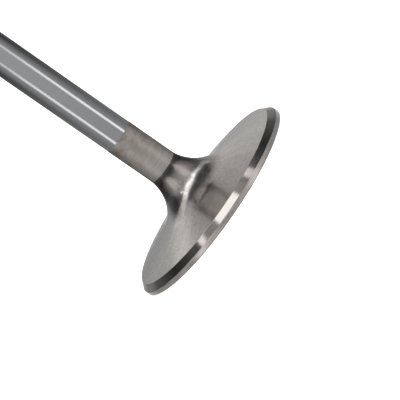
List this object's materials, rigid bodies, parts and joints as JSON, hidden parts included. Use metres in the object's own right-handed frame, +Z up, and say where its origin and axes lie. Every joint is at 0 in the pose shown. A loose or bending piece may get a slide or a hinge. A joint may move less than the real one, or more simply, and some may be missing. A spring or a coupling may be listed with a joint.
{
  "type": "engine valve",
  "caption": "One-piece poppet intake valve: round head with a bevelled seat and a wide neck fillet, long straight stem with a keeper groove near its flat tip.",
  "frame": {"origin": "centre of the flat combustion face, which is the bottom of the valve", "axes": "+Z up the stem, from the head to the tip; the valve is round, so X and Y are alike"},
  "size_m": [0.0528, 0.0528, 0.1247],
  "materials": {
    "valve_steel": "ground and swirl-polished stainless valve steel, hard chrome plated on the stem"
  },
  "bodies": {
    "root": {"engine_valve": "valve_steel"}
  },
  "joints": []
}
